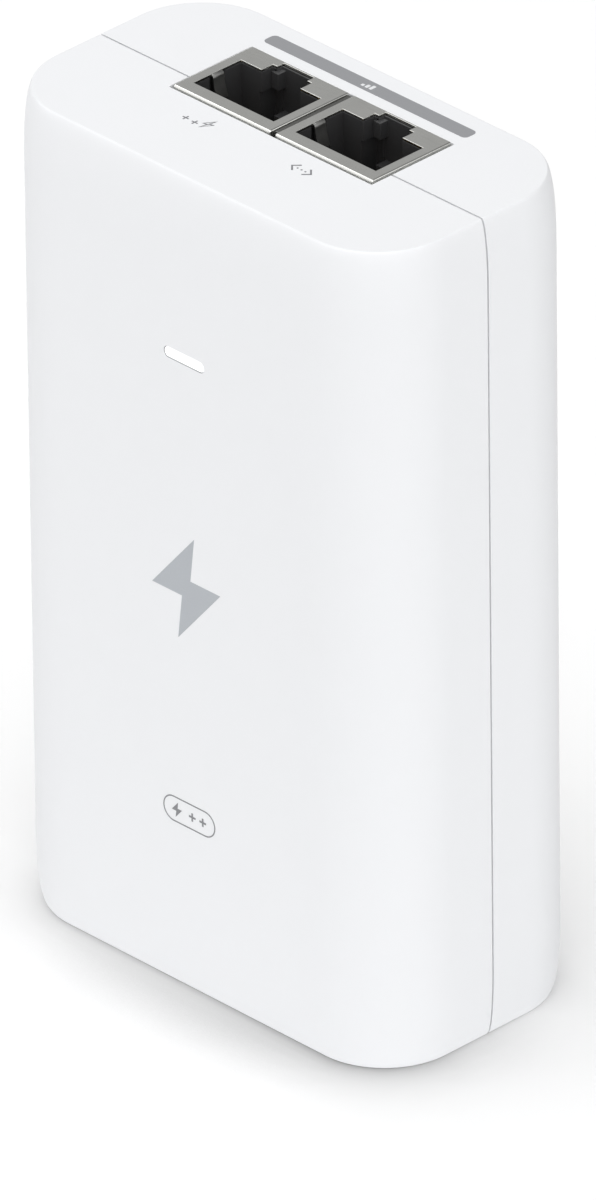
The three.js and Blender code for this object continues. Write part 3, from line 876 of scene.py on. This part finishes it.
def jack_shield():
    """A folded box of sheet, open below, with rounded folds and the stepped mouth."""
    half, front, rear, top, bottom = (JACK[k] for k in ("half", "front", "rear", "top", "bottom"))
    piece = block("shield", (-half, front, bottom), (half, rear, top))
    hollow_box = block(
        "hollow_box",
        (-half + SHEET, front + SHEET, bottom - 1),
        (half - SHEET, rear - SHEET, top - SHEET),
    )
    carve(piece, hollow_box, drawn("mouth", [mouth_outline()], "top", top - 1, 2))

    def at_side(vertex):
        return abs(abs(vertex.x) - half) < 0.001

    def at_corner(vertex):
        return at_side(vertex) and not front + 0.001 <= vertex.y <= rear - 0.001

    def fold(edge):
        ends = [vertex.co / MM for vertex in edge.verts]
        if any(abs(end.z - top) >= 0.001 for end in ends):
            return 0.7 if all(map(at_corner, ends)) else 0.0
        if all(abs(end.y - rear) < 0.001 for end in ends):
            return 0.45
        if all(abs(end.y - front) < 0.001 for end in ends):
            return 1.0
        return 0.4 if all(map(at_side, ends)) else 0.15

    soften_edges(piece, fold, FOLD_RADIUS, 6)
    smooth(piece, 30)
    return piece


def jack_fingers():
    """The two ground fingers of a shield, one at each side of the mouth."""
    piece = finger()
    twin = copy_of(piece, "finger_twin")
    activate(twin)
    twin.scale.x = -1
    settle(twin)
    pick(twin, "verts", lambda vertex: True)
    bpy.ops.mesh.normals_make_consistent(inside=False)
    bpy.ops.object.mode_set(mode="OBJECT")
    join(piece, twin)
    smooth(piece, 40)
    piece.name = "fingers"
    return piece


def jack_insert():
    """The moulded insert: the plug's cavity, the latch's well with its catches, the fingers'
    wells and a comb slot for each contact."""
    room = SHEET + 0.08
    half = JACK["half"] - room
    front = JACK["front"] + room
    rear = JACK["rear"] - room
    top = JACK["top"] - room
    floor = HEIGHT - CAVITY_DEPTH
    piece = block("insert", (-half, front, JACK["bottom"] + 0.3), (half, rear, top))
    carve(piece, drawn("cavity", [mouth_outline(CAVITY_KEY_REAR, 0.03)], "top", floor, 20))
    carve(piece, block("latch_well", (-3.26, 6.22, floor - 0.1), (3.26, 8.72, HEIGHT - 2.6)))
    for side in (-1, 1):
        x = side * (MOUTH["half"] + 0.05)
        low, high = (x - 0.75, 1.75, HEIGHT - 6), (x + 0.75, 3.95, HEIGHT + 1)
        carve(piece, block("finger_well", low, high))
    for i in range(CONTACTS):
        x = (i - (CONTACTS - 1) / 2) * CONTACT_PITCH
        low, high = (x - 0.33, front + 0.28, floor), (x + 0.33, -0.4, HEIGHT - 0.9)
        carve(piece, block("comb_slot", low, high))
    carve(
        piece,
        block("catch", (-2.85, 7.75, HEIGHT - 2.5), (-1.75, 8.9, HEIGHT - 0.5)),
        block("catch_foot", (-2.05, 7.3, HEIGHT - 8.2), (-0.85, 8.9, HEIGHT - 5.4)),
        block("catch_stop", (2.0, 7.75, HEIGHT - 3.2), (2.6, 8.9, HEIGHT - 0.75)),
        operation="UNION",
    )
    soften_edges(piece, lambda edge: 1.0, 0.07, 2)
    smooth(piece)
    return piece


def jack_bridge():
    """The strip that fills most of the gap between the two shields, rounded along its top."""
    top = HEIGHT + 0.02
    low = (-BRIDGE_HALF, JACK["front"] + 0.75, HEIGHT - 4)
    piece = block("jack_bridge", low, (BRIDGE_HALF, JACK["rear"] - 0.2, top))
    soften_edges(piece, lambda edge: all(v.co.z > top * MM - 1e-5 for v in edge.verts), 0.12, 3)
    smooth(piece)
    # Its dark grey is painted shade, for the shaded groove between the shields.
    return dress(piece, BRIDGE_SHADE)


def make_jacks():
    """Each kind of piece is modelled once, and copied to both jacks."""
    for model, kind, material, slot in (
        (jack_shield(), "shield", NICKEL, "jack_shield"),
        # The fingers' darker nickel is painted shade inside the mouth.
        (jack_fingers(), "fingers", FINGER_SHADE, "jack_shield"),
        (jack_insert(), "insert", BLACK, "black_plastic"),
    ):
        for letter, side in (("a", -1), ("b", 1)):
            piece = standing_at(copy_of(model, f"{kind}_{letter}"), side * JACK_X)
            dress(piece, material, None if kind == "fingers" else f"jack_{letter}_{kind}")
        bpy.data.objects.remove(model)
    jack_bridge()


def softened(node, name, width, material):
    """A copy of a CAD node, merged, with its edges rounded."""
    piece = copy_of(frame["nodes"][node], name)
    piece.parent = None
    for key in list(piece.keys()):
        del piece[key]
    pick(piece, "verts", lambda vertex: True)
    bpy.ops.mesh.remove_doubles(threshold=2e-6)
    bpy.ops.mesh.dissolve_limited(angle_limit=math.radians(1))
    bpy.ops.object.mode_set(mode="OBJECT")
    soften_edges(piece, lambda edge: 1.0, width, 3)
    smooth(piece)
    return dress(piece, material, node)


# ---------------------------------------------------------------- printed marks

BOLT = [(0.2, 1.0), (-0.8, -0.17), (-0.1, -0.17), (-0.2, -1.0), (0.8, 0.17), (0.1, 0.17)]


def plus(x, y, size, width):
    """A plus sign, as one outline around its twelve corners."""
    a = size / 2
    b = width / 2
    corners = (
        (-b, -a), (b, -a), (b, -b), (a, -b), (a, b), (b, b),
        (b, a), (-b, a), (-b, b), (-a, b), (-a, -b), (-b, -b),
    )
    return [(x + across, y + along) for across, along in corners]


def mark(name, outlines, plane, material, level=None):
    """A printed mark: ink of its real thickness on the case."""
    surface = level if level is not None else (HEIGHT if plane == "top" else -HALF_DEPTH)
    piece = drawn(name, outlines, plane, surface, INK, sink=INK_SINK)
    dress(piece, material)


def power_outlines():
    """Two plus signs and the outline of a bolt."""
    bolt = [
        (-6.3, -5.62), (-5.78, -5.5), (-6.62, -6.75), (-6.38, -5.8), (-6.9, -5.9), (-6.1, -4.72),
    ]
    signs = [plus(x, y, 0.86, 0.17) for x, y in ((-9.1, -6.36), (-7.7, -6.4))]
    return signs + hollow(bolt, INK_LINE)


def link_outlines():
    """Two angle brackets with three dots between them."""
    y = -5.75
    rise = 0.72
    brackets = [
        stroke([(inner, y + rise), (tip, y), (inner, y - rise)], 0.2)
        for inner, tip in ((7.08, 6.36), (8.48, 9.2))
    ]
    return brackets + [disc(x, y, 0.12) for x in (7.2, 7.78, 8.36)]


def make_marks():
    """The symbols of the jacks, the strip with its three bars, the emblem and the pill."""
    mark("power_mark", power_outlines(), "top", GREY_INK)
    mark("link_mark", link_outlines(), "top", GREY_INK)
    mark("port_strip", [rounded_rectangle(-15.35, 15.3, 11.13, 13.05, 0.6)], "top", STRIP_INK)
    bars = [
        rounded_rectangle(x, x + 0.42, 11.62, 11.62 + rise, 0.1, 3)
        for x, rise in ((-1.0, 0.4), (-0.4, 0.65), (0.2, 0.9))
    ]
    mark("strip_bars", bars, "top", WHITE_INK, HEIGHT + INK)
    mark("emblem", [moved(BOLT, 0.2, 50.2, 6.5)], "front", PALE_INK)
    x, z = 0.2, 22.1
    pill = hollow(moved(stadium(7.8, 3.0, 14), x, z), INK_LINE)
    mark("pill_outline", pill, "front", GREY_INK)
    symbols = [moved(BOLT, x - 1.9, z, 0.95)]
    symbols += [plus(x + right, z, 1.0, 0.24) for right in (0.45, 2.05)]
    mark("pill_symbols", symbols, "front", GREY_INK)


# ---------------------------------------------------------------- inside and underneath


def make_inlet():
    """The inlet's housing and its three blades, with rounded edges."""
    softened("inlet_housing", "inlet_shroud", 0.25, BLACK)
    for pin in ("line", "neutral", "earth"):
        softened(f"inlet_{pin}_pin", f"{pin}_blade", 0.2, FINISHES["plated_pin"])


FINISHES = {
    "white_case": WHITE,
    "light_pipe": LENS,
    "jack_shield": NICKEL,
    "black_plastic": BLACK,
    "status_lamp": moulded("status_lamp", rgb(236, 238, 242), 0.3),
    "gold_contact": plated("gold_contact", rgb(226, 184, 96), 0.22, along=(1, 1, 0.04)),
    "plated_pin": plated("plated_pin", rgb(205, 205, 203), 0.2, along=(1, 1, 0.04)),
    "circuit_board": moulded("circuit_board", rgb(28, 92, 52), 0.35, texture=0.6 * MM),
    "film_capacitor": moulded("film_capacitor", rgb(214, 170, 60), 0.4),
    "blue_coating": moulded("blue_coating", rgb(38, 98, 168), 0.25, texture=0.8 * MM),
    "green_coating": moulded("green_coating", rgb(60, 108, 64), 0.5),
    "copper_winding": plated(
        "copper_winding", rgb(196, 118, 66), 0.3, along=(1, 1, 1), streak=0.5 * MM
    ),
    "capacitor_sleeve": moulded("capacitor_sleeve", rgb(34, 40, 50), 0.25, texture=0.5 * MM),
    "ferrite": moulded("ferrite", rgb(52, 52, 55), 0.65, texture=0.3 * MM, depth=0.02 * MM),
    "winding_tape": moulded("winding_tape", rgb(222, 182, 58), 0.3, texture=1.2 * MM),
    "aluminium": plated("aluminium", rgb(196, 198, 200), 0.35, along=(1, 1, 0.03)),
    "screw_steel": plated("screw_steel", rgb(180, 180, 182), 0.28, along=(1, 0.2, 1)),
    "silicone_pad": moulded("silicone_pad", rgb(138, 160, 180), 0.7, texture=0.4 * MM),
    "insulation_paper": moulded("insulation_paper", rgb(42, 45, 43), 0.7, texture=0.2 * MM),
}


def dress_cad_nodes():
    """Each CAD node that stays gets the finish of its slot."""
    for row in frame["record"]["subparts"]:
        node = frame["nodes"][row["node"]]
        node.data.materials.clear()
        node.data.materials.append(FINISHES[row["material_slot"]])


make_camera()
make_studio()
make_floor()
dress_cad_nodes()
make_case()
make_lens()
make_jacks()
make_inlet()
make_marks()
